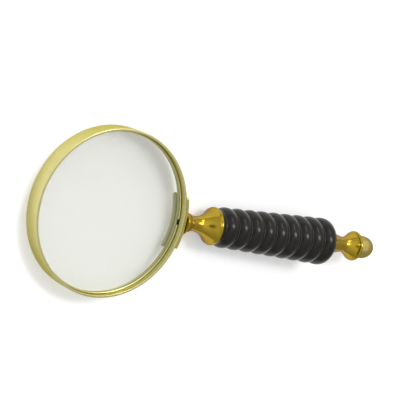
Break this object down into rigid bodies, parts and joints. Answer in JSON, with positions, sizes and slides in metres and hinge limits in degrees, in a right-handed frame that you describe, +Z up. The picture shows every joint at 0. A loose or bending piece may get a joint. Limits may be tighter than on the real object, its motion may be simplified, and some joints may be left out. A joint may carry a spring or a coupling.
{
  "type": "magnifying glass",
  "caption": "Brass hand magnifier: a round biconvex lens in a flat band, with a ribbed black handle between a brass ferrule and a flared brass pommel.",
  "frame": {"origin": "middle of the bounding box's base, on the plane that the magnifier rests on", "axes": "+X from the lens to the handle's end, +Z up, with the lens's front face upwards"},
  "size_m": [0.2666, 0.1038, 0.0324],
  "materials": {
    "glass": "clear, polished, faint green tint",
    "pale_brass": "satin, fine circular brushing",
    "saddle_brass": "satin, browned by brazing at its edges",
    "gold_brass": "polished and lacquered, with faint turning lines",
    "knurled_brass": "fine straight knurl, duller than the polished parts",
    "steel": "turned",
    "black_wood": "ebonised, satin lacquer",
    "fibre": "matt vulcanised fibre"
  },
  "bodies": {
    "lens_frame": {"lens": "glass", "lens_band": "pale_brass", "front_snap_ring": "pale_brass", "rear_snap_ring": "pale_brass", "saddle_plate": "saddle_brass", "back_stop": "pale_brass", "handle_boss": "gold_brass"},
    "neck_washer": {"neck_washer": "fibre"},
    "handle": {"ferrule": "gold_brass", "rod_lock_nut": "steel", "tie_rod": "steel", "grip": "black_wood", "pommel": "gold_brass"},
    "end_collar": {"end_collar": "gold_brass"},
    "end_nut": {"end_nut": "knurled_brass"}
  },
  "joints": [
    {"name": "handle_feed", "type": "slide", "parent": "lens_frame", "child": "neck_washer", "axis": [0.9989, 0, 0.0478], "range_m": [0, 0.0042]},
    {"name": "handle_turn", "type": "hinge", "parent": "neck_washer", "child": "handle", "pos_m": [-0.02261, 0, 0.01162], "axis": [0.9989, 0, 0.0478], "range_deg": [0, 2161]},
    {"name": "nut_feed", "type": "slide", "parent": "handle", "child": "end_collar", "axis": [0.9989, 0, 0.0478], "range_m": [0, 0.00665]},
    {"name": "nut_turn", "type": "hinge", "parent": "end_collar", "child": "end_nut", "pos_m": [0.11813, 0, 0.01836], "axis": [0.9989, 0, 0.0478], "range_deg": [0, 3421]}
  ],
  "couplings": [
    {"joint": "handle_turn", "follows": "handle_feed", "rad_per_m": 8976},
    {"joint": "nut_turn", "follows": "nut_feed", "rad_per_m": 8976}
  ]
}
